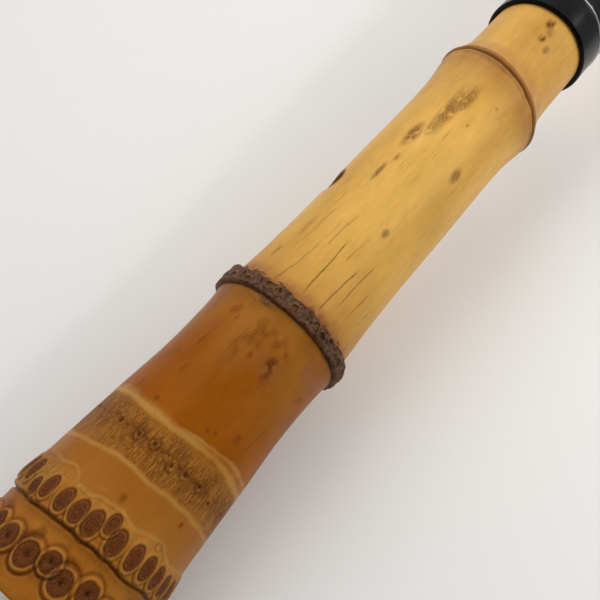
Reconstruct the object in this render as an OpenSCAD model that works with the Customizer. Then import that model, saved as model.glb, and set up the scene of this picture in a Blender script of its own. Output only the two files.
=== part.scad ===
/* [Overall] */
// Length from the root end to the blowing edge
flute_len = 545; // [535:1:560]
// Distance from the root end to the seam between the two halves
seam_x = 256; // [254:0.5:257]

/* [Bamboo] */
// Largest radius of the root end, on the raised root scars
root_r = 25.2; // [24.8:0.1:25.6]
// Depth of the groove cut round the root end
root_groove_depth = 1.4; // [0.8:0.1:2]
// Number of root scars in the raised row above the groove
scar_count = 32; // [28:4:36]
// Width of the rounded back of each raised root scar
scar_w = 5.2; // [4.8:0.1:5.4]
// Length of each raised root scar along the culm
scar_len = 6.6; // [6:0.2:7]
// Radius of the scab ridge left by the lower node
lower_node_r = 23.2; // [22.4:0.1:24]
// Radius of the thin double ridge at the node under the joint
upper_node_r = 21.1; // [20.8:0.1:21.6]
// Radius of the culm beside the joint
joint_culm_r = 17.7; // [17.6:0.1:18]
// Radius of the culm at its mouth node
mouth_node_r = 18.6; // [18.2:0.1:19]

/* [Bore] */
// Radius drilled through both halves before they are lined
drilled_r = 10.6; // [10.6:0.1:11]
// Finished bore radius at the root end
foot_bore_r = 9; // [8.8:0.1:9.2]
// Length of the straight bore at the root end
foot_bore_len = 26; // [22:1:30]
// Finished bore radius at its narrowest
choke_bore_r = 7.6; // [7.4:0.1:8]
// Finished bore radius at the seam
seam_bore_r = 8.8; // [8.6:0.1:9]
// Finished bore radius at the mouth
mouth_bore_r = 10; // [9.8:0.1:10]

/* [Finger holes] */
// Radius of each finger hole
hole_r = 5; // [4.6:0.1:5.4]
// Turn of the lowest finger hole from the top of the flute
low_hole_turn = 63; // [60:1:80]
// Turn of the other finger holes from the top of the flute
hole_turn = 90; // [88:1:94]
// Distance of the lowest finger hole from the root end
hole_1_x = 144; // [140:1:148]
// Distance of the second finger hole from the root end
hole_2_x = 186; // [182:1:190]
// Distance of the third finger hole from the root end
hole_3_x = 224; // [222:1:225]
// Distance of the fourth finger hole from the root end
hole_4_x = 292; // [291:1:294]
// Distance of the thumb hole from the root end
thumb_x = 316; // [314:1:318]

/* [Joint] */
// Outer radius of the black joint sleeves
sleeve_r = 19.5; // [19.3:0.1:19.8]
// Length of each joint sleeve
sleeve_len = 11.8; // [11:0.2:12]
// Radius the culm is turned down to under the sleeves
seat_r = 17; // [16.8:0.1:17.2]
// Outer radius of the metal ring at the seam
ring_r = 19.75; // [19.6:0.05:20]
// Thickness of the metal ring at the seam
ring_t = 1; // [0.8:0.1:1.4]
// Outer radius of the tenon tube
tenon_r = 12.6; // [12.4:0.1:12.8]
// Length of the tenon held in the lower half
tenon_root = 22; // [18:1:23]
// Length of the tenon that enters the upper half
tenon_reach = 26; // [24:1:26]
// Radial running clearance between tenon and socket
tenon_gap = 0.05; // [0.03:0.01:0.08]
// Wall of the socket tube in the upper half
socket_wall = 1.6; // [1.4:0.1:1.8]
// Gap between faces that meet at the seam
face_gap = 0.15; // [0.1:0.01:0.2]

/* [Mouth] */
// Slope of the blowing cut to the flute's axis
cut_angle = 31; // [28:1:34]
// Distance of the blowing edge from the axis
edge_y = 8.6; // [8.4:0.1:8.8]
// Radius of the horn inlay set in the blowing cut
inlay_r = 8; // [7:0.5:8]
// Depth of the horn inlay below the blowing cut
inlay_depth = 3.4; // [3:0.2:4]
// Slope of the chin bevel to the flute's axis
chin_angle = 55; // [50:1:60]

/* [Hidden] */

bamboo_colour = "#c99a4d";
root_colour = "#bb8339";
lining_colour = "#6b2a1c";
sleeve_colour = "#1c1a20";
silver_colour = "#b9b9bd";
tenon_colour = "#3b211a";
horn_colour = "#17130f";

axis_h = root_r;
eps = 0.01;
overrun = 5;
fine = 128;
bore_fn = 96;

// faces that meet at the seam, from the root end
lower_end = seam_x - ring_t / 2;
ring_start = lower_end + face_gap;
ring_end = ring_start + ring_t;
upper_start = ring_end + face_gap;
tenon_start = lower_end - tenon_root;
tenon_end = lower_end + tenon_reach;
socket_end = tenon_end + face_gap;
socket_in_r = tenon_r + tenon_gap;
socket_out_r = socket_in_r + socket_wall;
sleeve_step = 2.4;
sleeve_lip_r = joint_culm_r + 0.4;
sleeve_edge = 0.5;
choke_x = 96;
scar_x = 22.8;

// outline of the lower culm: distance from the root end, outer radius
lower_line = [
    [0, root_r - 1.2], [0.4, root_r - 0.9], [1.8, root_r - 0.6], [5, root_r - 0.8],
    [10, root_r - 1.2], [14, root_r - 1.4], [16.6, root_r - 1.2],
    [17.4, root_r - 0.9 - root_groove_depth], [18.6, root_r - 0.8 - root_groove_depth],
    [19.4, root_r - 0.9], [21.5, root_r - 0.5], [24, root_r - 0.7], [27, root_r - 1.2],
    [32, root_r - 1.7], [37, root_r - 2], [43, root_r - 2.4], [50, root_r - 2.9],
    [57, root_r - 3.4], [63, root_r - 3.9], [68, root_r - 4.3], [76, root_r - 4.6],
    [84, root_r - 4.6], [90, root_r - 4.4], [93.5, root_r - 4],
    [94.6, lower_node_r - 0.6], [96, lower_node_r], [98.6, lower_node_r],
    [99.8, lower_node_r - 0.8], [100.8, lower_node_r - 2.4], [104, lower_node_r - 2.8],
    [112, joint_culm_r + 2.1],
    [124, joint_culm_r + 1.7], [140, joint_culm_r + 1.5], [158, joint_culm_r + 1.5],
    [176, joint_culm_r + 1.35], [190, joint_culm_r + 1.35], [198, joint_culm_r + 1.7],
    [203, joint_culm_r + 2.3], [207, upper_node_r - 0.6], [209, upper_node_r],
    [210.6, upper_node_r - 0.35], [212, upper_node_r - 0.1], [213.8, upper_node_r - 1.1],
    [217, joint_culm_r + 1.1], [221, joint_culm_r + 0.4], [228, joint_culm_r],
    [256, joint_culm_r]
];

// outline of the upper culm: distance from the root end, outer radius
upper_line = [
    [270, joint_culm_r], [300, joint_culm_r - 0.1], [318, joint_culm_r],
    [327, joint_culm_r + 0.4], [332, joint_culm_r + 1.1], [335, joint_culm_r + 1.7],
    [336.6, joint_culm_r + 1.35], [338, joint_culm_r + 1.6], [340, joint_culm_r + 0.7],
    [344, joint_culm_r + 0.1], [352, joint_culm_r - 0.2], [380, joint_culm_r - 0.3],
    [420, joint_culm_r - 0.2], [438, joint_culm_r + 0.1], [443, joint_culm_r + 0.9],
    [446, joint_culm_r + 1.5], [447.6, joint_culm_r + 1.1], [449, joint_culm_r + 1.4],
    [451, joint_culm_r + 0.5], [455, joint_culm_r], [464, joint_culm_r - 0.3],
    [490, joint_culm_r - 0.4], [518, joint_culm_r - 0.2], [529, mouth_node_r - 0.8],
    [534, mouth_node_r - 0.1], [537, mouth_node_r], [541, mouth_node_r - 0.4],
    [flute_len - 1, mouth_node_r - 0.7], [flute_len, mouth_node_r - 1.5]
];

// finished bore: distance from the root end, radius
bore_line = [
    [-overrun, foot_bore_r], [foot_bore_len, foot_bore_r], [choke_x, choke_bore_r],
    [choke_x + 40, choke_bore_r + 0.1], [seam_x, seam_bore_r],
    [seam_x + 120, seam_bore_r + 0.6], [flute_len + overrun, mouth_bore_r]
];

// cubic blend through four radii at t between the middle two
function blend(a, b, c, d, t) =
    b + 0.5 * t * (c - a + t * (2 * a - 5 * b + 4 * c - d + t * (3 * (b - c) + d - a)));

// outline with one blended point added in the middle of each stretch
function blended(line) = [
    for (i = [0 : len(line) - 2])
        for (k = [0, 0.5])
            let (
                a = line[max(i - 1, 0)],
                b = line[i],
                c = line[i + 1],
                d = line[min(i + 2, len(line) - 1)]
            )
            k == 0 ? b : [b[0] + k * (c[0] - b[0]), blend(a[1], b[1], c[1], d[1], k)],
    line[len(line) - 1]
];

// closed half outline, in radius and distance, with its ends on the axis
function closed(line) = concat(
    [[0, line[0][0]]],
    [for (p = line) [p[1], p[0]]],
    [[0, line[len(line) - 1][0]]]
);

// puts a shape drawn along +X from the root end in its place
module laid() {
    translate([-flute_len / 2, 0, axis_h]) children();
}

module turned(line, sides = fine) {
    rotate([0, 90, 0]) rotate_extrude($fn = sides) polygon(closed(line));
}

module rod(from, to, r, sides = bore_fn) {
    translate([from, 0, 0]) rotate([0, 90, 0]) cylinder(h = to - from, r = r, $fn = sides);
}

module finished_bore() {
    turned(bore_line, bore_fn);
}

module finger_hole(x, turn, r = hole_r) {
    translate([x, 0, 0]) rotate([-turn, 0, 0]) cylinder(h = root_r + overrun, r = r, $fn = 48);
}

module lower_holes(r = hole_r) {
    finger_hole(hole_1_x, low_hole_turn, r);
    finger_hole(hole_2_x, hole_turn, r);
    finger_hole(hole_3_x, hole_turn, r);
}

module upper_holes(r = hole_r) {
    finger_hole(hole_4_x, hole_turn, r);
    finger_hole(thumb_x, hole_turn + 180, r);
}

// sloping cut that makes the blowing edge on the finger-hole side
module blowing_cut() {
    translate([flute_len, edge_y, 0]) rotate([0, 0, -cut_angle])
        translate([-2 * root_r, 0, -root_r]) cube([4 * root_r, root_r, 2 * root_r]);
}

// bevel that eases the opposite rim for the chin
module chin_bevel() {
    translate([flute_len, -mouth_bore_r - 3, 0]) rotate([0, 0, chin_angle])
        translate([-2 * root_r, -root_r, -root_r]) cube([4 * root_r, root_r, 2 * root_r]);
}

// round bed of the horn inlay, sunk square to the blowing cut
module inlay_bed() {
    translate([flute_len, edge_y, 0]) rotate([0, 0, -cut_angle])
        translate([0, overrun, 0]) rotate([90, 0, 0])
            cylinder(h = overrun + inlay_depth, r = inlay_r, $fn = 64);
}

// black sleeve on the turned-down seat, open over the bamboo at one end
module sleeve(from, lip_end) {
    lip_from = lip_end ? from + sleeve_len - sleeve_step : from - eps;
    lip_to = lip_end ? from + sleeve_len + eps : from + sleeve_step;
    soft = sleeve_edge;
    outline = [
        [from, sleeve_r - (lip_end ? 0.1 : soft)], [from + soft, sleeve_r],
        [from + sleeve_len - soft, sleeve_r],
        [from + sleeve_len, sleeve_r - (lip_end ? soft : 0.1)]
    ];
    difference() {
        turned(outline);
        rod(from - overrun, from + sleeve_len + overrun, seat_r);
        rod(lip_from, lip_to, sleeve_lip_r);
    }
}

// ring of raised root scars, each a rod with round ends sunk in the culm
module root_scars() {
    r = scar_w / 2;
    reach = scar_len / 2 - r;
    for (i = [0 : scar_count - 1])
        rotate([i * 360 / scar_count, 0, 0])
            translate([scar_x, 0, root_r - r]) {
                rod(-reach, reach, r, 32);
                for (end = [-reach, reach]) translate([end, 0, 0]) sphere(r = r, $fn = 32);
            }
}

// root end half of the bamboo culm
module lower_culm() {
    seat_from = lower_end - sleeve_len + sleeve_step;
    laid() color(root_colour) difference() {
        union() {
            intersection() {
                turned(blended(lower_line));
                rod(-overrun, seat_from, 2 * root_r);
            }
            rod(seat_from - eps, lower_end, seat_r);
            root_scars();
        }
        rod(-overrun, lower_end + overrun, drilled_r);
        rod(tenon_start, lower_end + overrun, tenon_r);
        lower_holes();
    }
}

// hard lacquered paste that shapes the bore of the lower half and its tenon
module lower_lining() {
    laid() color(lining_colour) difference() {
        rod(0, tenon_end, drilled_r);
        finished_bore();
        lower_holes();
    }
}

// black sleeve on the lower half
module lower_sleeve() {
    laid() color(sleeve_colour) sleeve(lower_end - sleeve_len, false);
}

// tube glued in the lower half that enters the upper half
module tenon() {
    ease = 0.6;
    line = [
        [tenon_start, tenon_r], [tenon_end - ease, tenon_r], [tenon_end, tenon_r - ease]
    ];
    laid() color(tenon_colour) difference() {
        turned(line, bore_fn);
        rod(tenon_start - overrun, tenon_end + overrun, drilled_r);
    }
}

// silver ring that turns on the tenon at the seam
module seam_ring() {
    soft = 0.3;
    line = [
        [ring_start, ring_r - soft], [ring_start + soft, ring_r],
        [ring_end - soft, ring_r], [ring_end, ring_r - soft]
    ];
    laid() color(silver_colour) difference() {
        turned(line);
        rod(ring_start - overrun, ring_end + overrun, socket_in_r);
    }
}

// tube glued in the upper half that the tenon slides in
module socket() {
    laid() color(tenon_colour) difference() {
        rod(upper_start, socket_end, socket_out_r);
        rod(upper_start - overrun, socket_end + overrun, socket_in_r);
    }
}

// black sleeve on the upper half
module upper_sleeve() {
    laid() color(sleeve_colour) sleeve(upper_start, true);
}

// hard lacquered paste that shapes the bore of the upper half
module upper_lining() {
    laid() color(lining_colour) difference() {
        rod(socket_end, flute_len, drilled_r);
        finished_bore();
        upper_holes();
        blowing_cut();
        inlay_bed();
    }
}

// mouth half of the bamboo culm
module upper_culm() {
    seat_to = upper_start + sleeve_len - sleeve_step;
    laid() color(bamboo_colour) difference() {
        union() {
            intersection() {
                turned(concat([[seat_to - overrun, joint_culm_r]], blended(upper_line)));
                rod(seat_to, flute_len + overrun, 2 * root_r);
            }
            rod(upper_start, seat_to + eps, seat_r);
        }
        rod(upper_start - overrun, flute_len + overrun, drilled_r);
        rod(upper_start - overrun, socket_end, socket_out_r);
        upper_holes();
        blowing_cut();
        chin_bevel();
        inlay_bed();
    }
}

// dark horn inlay that carries the blowing edge
module mouth_inlay() {
    laid() color(horn_colour) difference() {
        intersection() {
            inlay_bed();
            turned(concat([[seam_x, joint_culm_r]], blended(upper_line)));
        }
        finished_bore();
        blowing_cut();
    }
}

lower_culm();
lower_lining();
lower_sleeve();
tenon();
seam_ring();
socket();
upper_sleeve();
upper_lining();
upper_culm();
mouth_inlay();
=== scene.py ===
"""A two-piece end-blown bamboo flute: its looks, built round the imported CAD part.

Places on the flute are given as x, the distance from the root end in millimetres, and turn, the
angle round the axis from the top of the flute towards the finger-hole side, in degrees.
"""

import math

import bpy
import numpy as np
from mathutils import Matrix, Vector


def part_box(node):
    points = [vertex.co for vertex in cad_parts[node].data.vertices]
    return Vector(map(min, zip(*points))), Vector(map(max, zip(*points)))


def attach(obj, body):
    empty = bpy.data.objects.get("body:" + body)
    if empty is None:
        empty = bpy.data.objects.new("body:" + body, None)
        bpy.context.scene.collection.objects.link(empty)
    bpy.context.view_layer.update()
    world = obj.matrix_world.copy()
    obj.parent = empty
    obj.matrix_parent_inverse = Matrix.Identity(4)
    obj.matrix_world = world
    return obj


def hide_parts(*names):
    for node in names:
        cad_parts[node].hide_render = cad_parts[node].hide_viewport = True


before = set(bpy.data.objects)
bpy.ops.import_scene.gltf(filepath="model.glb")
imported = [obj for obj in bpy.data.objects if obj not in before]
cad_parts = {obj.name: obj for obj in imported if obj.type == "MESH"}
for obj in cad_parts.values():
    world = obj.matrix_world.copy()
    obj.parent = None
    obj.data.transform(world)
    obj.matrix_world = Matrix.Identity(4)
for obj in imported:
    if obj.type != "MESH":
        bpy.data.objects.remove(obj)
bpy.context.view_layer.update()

MM = 0.001

# ---------------------------------------------------------------- sizes from the frame

culm_low, culm_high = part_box("lower_culm")
upper_low, upper_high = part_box("upper_culm")
tenon_low, tenon_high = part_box("tenon")
lining_low, lining_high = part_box("lower_lining")
socket_low, socket_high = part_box("socket")

ROOT_X = culm_low.x
AXIS_Z = (culm_low.z + culm_high.z) / 2


def from_root(x):
    """A place in the frame, in metres, as a distance from the root end in millimetres."""
    return (x - ROOT_X) / MM


ROOT_R = (culm_high.z - culm_low.z) / 2 / MM
LOWER_END = from_root(culm_high.x)
UPPER_START = from_root(upper_low.x)
FLUTE_LEN = from_root(upper_high.x)
SLEEVE_START = from_root(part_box("lower_sleeve")[0].x)
SLEEVE_END = from_root(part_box("upper_sleeve")[1].x)
DRILLED_R = (lining_high.z - lining_low.z) / 2 / MM
TENON_R = (tenon_high.z - tenon_low.z) / 2 / MM
TENON_START = from_root(tenon_low.x)
SOCKET_R = (socket_high.z - socket_low.z) / 2 / MM
SOCKET_END = from_root(socket_high.x)

# ---------------------------------------------------------------- sizes the frame doesn't give

END_R = 24.0
SEAT_R = 17.0
JOINT_R = 17.7
SLEEVE_STEP = 2.4
HOLE_R = 5.0
HOLE_EASE = 0.7
HOLE_FLOOR_R = 10.2
LOWER_HOLES = ((144, 63), (186, 90), (224, 90))
UPPER_HOLES = ((292, 90), (316, 270))
CUT_ANGLE = math.radians(31)
EDGE_Y = 8.6
CHIN_ANGLE = math.radians(55)
CHIN_Y = 13.0
INLAY_R = 8.0
BED_DEPTH = 1.2
MOUTH_R = 17.9
# beyond this x the rows of the upper skin are squeezed to end on the mouth's cuts
SQUEEZE_FROM = 505.0

COLUMNS = 560
UPPER_ROW_STEP = 0.6
UPPER_COLUMNS = 360

# outlines of the bare culm, without its scars, scabs and node lines: x, radius
LOWER_LINE = (
    (0, 24), (0.4, 24.3), (1.2, 24.5), (2.6, 24.6), (5, 24.5), (10, 24.1), (14, 23.8),
    (16.5, 23.8), (17.6, 23.9), (19.6, 24.4), (21.5, 24.7), (24, 24.5), (27, 24), (32, 23.5),
    (37, 23.2), (43, 22.8), (50, 22.3), (57, 21.8), (63, 21.3), (68, 20.9), (76, 20.6),
    (84, 20.6), (90, 20.8), (93.5, 21.2), (96, 21.4), (99, 21), (101, 20.5), (104, 20.3),
    (112, 19.8), (124, 19.4), (140, 19.2), (158, 19.2), (176, 19.05), (190, 19.05),
    (198, 19.4), (203, 20), (207, 20.6), (209, 20.85), (211, 20.8), (213.2, 20.1),
    (216, 19.1), (220, 18.2), (226, 17.8), (234, JOINT_R), (256, JOINT_R),
)
UPPER_LINE = (
    (268, JOINT_R), (300, 17.6), (318, 17.7), (327, 18.1), (332, 18.8), (335, 19.2),
    (337, 19.1), (340, 18.3), (344, 17.8), (352, 17.5), (380, 17.4), (420, 17.5),
    (438, 17.8), (443, 18.6), (446, 19.05), (448, 18.95), (451, 18.1), (455, 17.7),
    (464, 17.4), (490, 17.3), (518, 17.5), (529, 17.8), (534, 18.35), (537, 18.55),
    (541, 18.15), (544, 17.9), (545, 17.3),
)

# ---------------------------------------------------------------- numbers and noise


def smooth(low, high, value):
    """0 below low, 1 above high and an S-curve between."""
    t = np.clip((value - low) / (high - low), 0, 1)
    return t * t * (3 - 2 * t)


def bell(value, width):
    return np.exp(-(value / width) ** 2)


def turned_from(turn, centre):
    """Signed angle in degrees from a centre turn, the short way round."""
    return (turn - centre + 180) % 360 - 180


def lattice(ix, iy, iz, seed):
    h = (ix * 374761393 + iy * 668265263 + iz * 1440662683 + seed * 974634777) & 0xFFFFFFFF
    h = ((h ^ (h >> 13)) * 1274126177) & 0xFFFFFFFF
    return ((h ^ (h >> 16)) & 0xFFFF) / 65535.0


def value_noise(p, seed):
    """Smooth noise from 0 to 1 at points p of shape (..., 3)."""
    cell = np.floor(p).astype(np.int64)
    f = p - cell
    f = f * f * (3 - 2 * f)
    total = 0
    for dx in (0, 1):
        for dy in (0, 1):
            for dz in (0, 1):
                weight = (
                    (f[..., 0] if dx else 1 - f[..., 0])
                    * (f[..., 1] if dy else 1 - f[..., 1])
                    * (f[..., 2] if dz else 1 - f[..., 2])
                )
                corner = lattice(cell[..., 0] + dx, cell[..., 1] + dy, cell[..., 2] + dz, seed)
                total = total + weight * corner
    return total


def cubic(line, x):
    """Smooth outline through the points of line, read at x."""
    px, pr = np.array(line, float).T
    slope = np.gradient(pr, px)
    i = np.clip(np.searchsorted(px, x) - 1, 0, len(px) - 2)
    h = px[i + 1] - px[i]
    t = np.clip((x - px[i]) / h, 0, 1)
    t2, t3 = t * t, t * t * t
    return (
        (2 * t3 - 3 * t2 + 1) * pr[i]
        + (t3 - 2 * t2 + t) * h * slope[i]
        + (3 * t2 - 2 * t3) * pr[i + 1]
        + (t3 - t2) * h * slope[i + 1]
    )


class Skin:
    """A grid over a culm: x, turn and radius, and the masks that its material reads."""

    # the mask for brown stains also holds painted shade round the root end
    MASKS = ("warm", "pale", "fibre", "scar", "rim", "scab", "stain_and_shade", "line", "mauve")

    def __init__(self, rows, columns, line):
        angles = -180 + 360 * np.arange(columns) / columns
        self.x, self.turn = np.meshgrid(rows, angles, indexing="ij")
        self.r = cubic(line, self.x)
        self.masks = {name: np.zeros_like(self.x) for name in self.MASKS}

    def noise(self, size, stretch=1.0, seed=1, octaves=2):
        """Noise with features of a size in mm, drawn out along the culm."""
        t = np.radians(self.turn)
        p = np.stack(
            [self.x / stretch, ROOT_R * 0.85 * np.sin(t), ROOT_R * 0.85 * np.cos(t)], -1
        )
        total, weight, share = 0, 1.0, 0
        for k in range(octaves):
            total = total + weight * value_noise(p * 2 ** k / size + 57.3, seed + k)
            share += weight
            weight *= 0.5
        return total / share

    def across(self, turn):
        """Distance in mm round the culm from a turn."""
        return np.radians(turned_from(self.turn, turn)) * self.r

    def add(self, mask, amount):
        self.masks[mask] = np.maximum(self.masks[mask], amount)

    def fade(self, mask, keep):
        self.masks[mask] = self.masks[mask] * keep


# ---------------------------------------------------------------- features of the bamboo

# raised root scars above the groove: x, turn, size against the usual
SCARS = (
    (20.6, 29, 0.8), (22.8, 20, 0.95), (22.7, 7, 1), (22.8, -4, 1), (22.8, -14, 1.1),
    (25.6, -22.5, 0.85), (23.2, -30.5, 1.1), (23.4, -44, 1.05), (23.7, -55, 1),
    (23.5, -65.5, 0.95), (23.3, -76, 0.9), (23, -87, 1),
)
# round root scars between the groove and the sawn end
END_SCARS = (
    (9.6, 33, 0.9), (8.8, 18.5, 1), (8.8, 1.5, 1.02), (11, -11.3, 0.86), (9.1, -22.7, 1.02),
    (11, -37.6, 1), (9, -52, 1), (10.6, -66, 0.95), (8.8, -80, 1),
)
SCAR_LEN, SCAR_WIDTH = 3.4, 2.05
END_SCAR_LEN, END_SCAR_WIDTH = 3.25, 2.75
SCAR_TURN, END_SCAR_TURN = 11.25, 14.6

# how deep an amber the skin is: x, share
WARMTH = (
    (0, 0.95), (12, 0.9), (22, 0.85), (30, 0.95), (50, 1), (66, 1), (80, 0.9), (94, 0.8),
    (99, 0.5), (112, 0.26), (130, 0.06), (165, 0), (190, 0.12), (207, 0.3), (216, 0.26),
    (230, 0.26), (247, 0.18),
)

# pale contours left by sanding, each read as x round the culm: x, turn
UPPER_CONTOUR = (
    (52.5, 66), (52.5, 31), (51.6, 13), (51.6, 0), (51.4, -11), (52.4, -23), (52.6, -34),
    (53, -47), (52.7, -60), (52, -79), (51.5, -120), (52.5, 180), (51.5, 120),
)
OUTER_CONTOUR = (
    (51.8, 0), (53, -18), (54, -31), (54.5, -44), (55.5, -59), (55, -75), (54, -110),
    (52, 180), (53.5, 120), (52.5, 60),
)
LOWER_CONTOUR = (
    (35.6, 60), (36.3, 33), (37, 16), (38, 4), (38.4, -9), (37.8, -21), (38.5, -36),
    (39, -50), (38.6, -68), (38, -110), (37, 180), (38.5, 120),
)
AMBER_CONTOUR = (
    (30, 60), (29.2, 29), (30.2, 19), (29.2, 13), (27.2, 9), (26.9, 0), (28.5, -11),
    (29.2, -21), (27.7, -33), (29.2, -44), (29.8, -55), (27, -68), (29, -110), (27.5, 180),
    (29.5, 120),
)
# faint curls inside the amber patch: x, turn of the points of each
CURLS = (
    ((28.6, 6), (29.5, -1), (30.6, -9), (31.3, -15), (34.2, -15), (37, -11)),
    ((31.6, 28), (34.7, 37), (35.6, 30), (33.5, 25), (31.6, 28)),
)

# the leaning node between the scab and the sleeve
NODE_X, NODE_LEAN = 210.0, 3.3

# brown marks on the skin: x, turn, length, width, strength
STAINS = (
    (168.5, 13, 7, 2.6, 0.8), (183, 2, 13, 3.2, 0.7), (190, -5, 8, 2.4, 0.65),
    (175, 2.5, 6, 2.4, 0.55), (166.6, -45, 4, 2, 0.7), (231.4, -18.5, 2.2, 1.6, 0.9),
    (239, -15, 3.4, 2, 0.95), (236, -20, 3, 1.6, 0.5), (229, -30, 2.6, 1.4, 0.6),
    (150, 12, 5, 1.1, 0.75), (157, 8, 3, 0.9, 0.6), (134, -31, 2.2, 1.3, 0.7),
    (81, -31.5, 2.6, 2.2, 1), (78.2, -33.5, 3.4, 1.6, 0.75), (79, -15, 1.6, 0.9, 0.7),
    (85.3, 12.8, 1.6, 0.5, 0.7), (75, 22.5, 1.8, 0.6, 0.6), (69, 32, 1.5, 0.7, 0.6),
    (74, 21.5, 1.4, 0.4, 0.5), (65.3, 15, 3, 0.8, 0.5), (56.4, 34, 1.6, 0.8, 0.55),
    (54.8, 12.5, 1.1, 0.8, 0.8), (56.8, -28, 1.2, 0.8, 0.6), (57.7, -33.4, 1, 0.6, 0.7),
    (60.8, -48.7, 1.8, 1.4, 0.6), (36, -55.6, 1.1, 0.8, 1), (31.4, -16.7, 1.6, 1.1, 0.7),
    (83.5, -11, 3, 2.4, 0.3), (110, 34, 3, 1, 0.5), (122, 28, 5, 1, 0.4),
    (182.3, -21.2, 0.6, 0.45, 1), (195, -31.8, 0.8, 0.5, 0.9), (70, 95, 6, 3, 0.5),
    (130, 130, 8, 3, 0.5), (170, 200, 12, 4, 0.5), (120, 235, 9, 3, 0.5), (60, 180, 4, 3, 0.6),
)
# hair cracks along the culm: x and turn of their ends, strength
CRACKS = (
    ((100, 11), (119, 5), 0.6), ((102, -12), (126, -13), 1), ((101, -30), (121, -36), 1),
    ((106, -41), (125, -45), 0.9), ((108, -54), (118, -58), 0.7), ((112, 22), (133, 17), 0.5),
    ((118, 0), (134, -4), 0.5), ((128, 24), (140, 22), 0.45), ((118, -22), (130, -25), 0.5),
    ((74, 2), (88, -3), 0.4), ((58, -58), (70, -66), 0.5), ((64, 26), (86, 18), 0.35),
    ((104, -68), (116, -72), 0.5), ((110, 120), (138, 116), 0.8), ((150, 205), (180, 201), 0.7),
    ((62, 150), (84, 146), 0.6), ((105, 250), (128, 247), 0.7),
)
UPPER_STAINS = (
    (286, -40, 6, 3, 0.5), (352, 30, 8, 3, 0.6), (372, -60, 12, 4, 0.55), (401, 5, 9, 3, 0.5),
    (415, 150, 12, 4, 0.6), (468, -20, 7, 2.6, 0.6), (492, 50, 10, 3, 0.5),
    (505, 200, 9, 4, 0.6), (522, -70, 6, 3, 0.5), (308, 140, 8, 3, 0.6), (330, 60, 5, 3, 0.4),
)
UPPER_CRACKS = (
    ((350, -30), (384, -34), 0.7), ((360, 40), (390, 37), 0.6), ((460, -60), (498, -63), 0.7),
    ((462, 20), (488, 18), 0.5), ((400, 150), (432, 147), 0.7), ((356, 230), (380, 226), 0.6),
)


def round_the_back(scars, spacing, seed):
    """The scars in view, with the rest of their row filled in round the back."""
    rows = list(scars)
    first, last = scars[0][1], scars[-1][1]
    gap = 360 - (first - last)
    count = int(gap / spacing) - 1
    x = sum(s[0] for s in scars) / len(scars)
    for k in range(count):
        wobble = lattice(k, seed, 3, seed) - 0.5
        rows.append((x + 1.6 * wobble, last - gap * (k + 1) / (count + 1) + 2 * wobble, 1))
    return rows


def scar_row(skin, scars, length, width, domed):
    """Oval root scars: a dark fibrous middle, a pale rim and a thin dark outline."""
    grain = skin.noise(0.55, 1.6, 21)
    edge = skin.noise(2.6, 1, 22, 3)
    for x, turn, size in scars:
        along = skin.x - x
        e = np.sqrt((along / (length * size)) ** 2 + (skin.across(turn) / (width * size)) ** 2)
        e = e * (1 + 0.22 * (edge - 0.5) * (1 - smooth(1, 1.5, e)))
        near = e < 2.2
        towards_root = smooth(0.6, -0.9, along / length)
        middle = 1 - smooth(0.86, 0.98, e)
        rim = bell(e - 1.1, 0.08) * (0.3 + 0.7 * towards_root)
        outline = np.maximum(bell(e - 0.94, 0.06), 0.9 * bell(e - 1.32, 0.06) * towards_root)
        if domed:
            rings = 0.5 + 0.5 * np.cos(e * 16)
            middle = middle * (0.72 + 0.28 * rings)
            rim = np.maximum(rim, 0.75 * bell(e - 1.1, 0.09))
            outline = np.maximum(outline, bell(e, 0.2))
            outline = np.maximum(outline, 0.8 * bell(e - 1.42, 0.1))
            lift = 0.42 * bell(e - 0.7, 0.55) - 0.45 * bell(e, 0.24) - 0.22 * bell(e - 0.97, 0.05)
            lift = lift + 0.2 * bell(e - 1.1, 0.1) - 0.35 * bell(e - 1.45, 0.12)
        else:
            middle = middle * (1 - 0.42 * bell(e - 0.74, 0.13))
            lift = 0.3 * (1 - smooth(0.8, 1.6, e)) + 0.16 * bell(e - 1.1, 0.14)
            lift = lift - 0.16 * bell(e - 0.94, 0.06) - 0.2 * bell(e - 1.34, 0.1) * towards_root
        lift = lift + 0.14 * (grain - 0.5) * middle
        skin.r = skin.r + np.where(near, lift, 0)
        skin.fade("pale", np.where(near, 1 - 0.8 * middle, 1))
        skin.add("scar", np.where(near, middle * (0.78 + 0.3 * grain), 0))
        skin.add("rim", np.where(near, rim, 0))
        skin.add("line", np.where(near, 0.75 * outline, 0))


def root_groove(skin):
    """Dark wavy groove cut round the root end, with a sharp lip above it."""
    wave = skin.noise(5, 1, 31)
    centre = 18.3 - 0.6 * np.sin(np.radians(skin.turn + 10)) + 1.5 * (wave - 0.5)
    away = skin.x - centre
    skin.r = skin.r - 0.95 * bell(away + 0.1, 0.42) + 0.25 * bell(away - 0.8, 0.5)
    skin.r = skin.r - 0.25 * smooth(0.4, -1.5, away) * smooth(-6, -2, away)
    skin.add("line", bell(away + 0.05, 0.3) * (0.6 + 0.6 * skin.noise(3, 1, 32)))
    skin.add("stain_and_shade", 0.55 * bell(away + 1.2, 1.1) * skin.noise(3, 1, 33, 3))
    skin.add("rim", 0.3 * bell(away - 0.95, 0.3))


def contour(skin, points, seed):
    """x of an uneven line that runs round the culm through points of x and turn."""
    xs, turns = np.array(points, float).T
    ripple = skin.noise(2.2, 1, seed, 3) - 0.5
    return np.interp(skin.turn, *zip(*sorted(zip(turns, xs))), period=360) + 0.9 * ripple


def pale_line(skin, centre, width, strength):
    """Pale line of uneven width and strength."""
    swell = skin.noise(6, 1, 44, 3)
    skin.add("pale", strength * (0.6 + 0.7 * swell) * bell(skin.x - centre, width * (0.55 + swell)))


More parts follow.
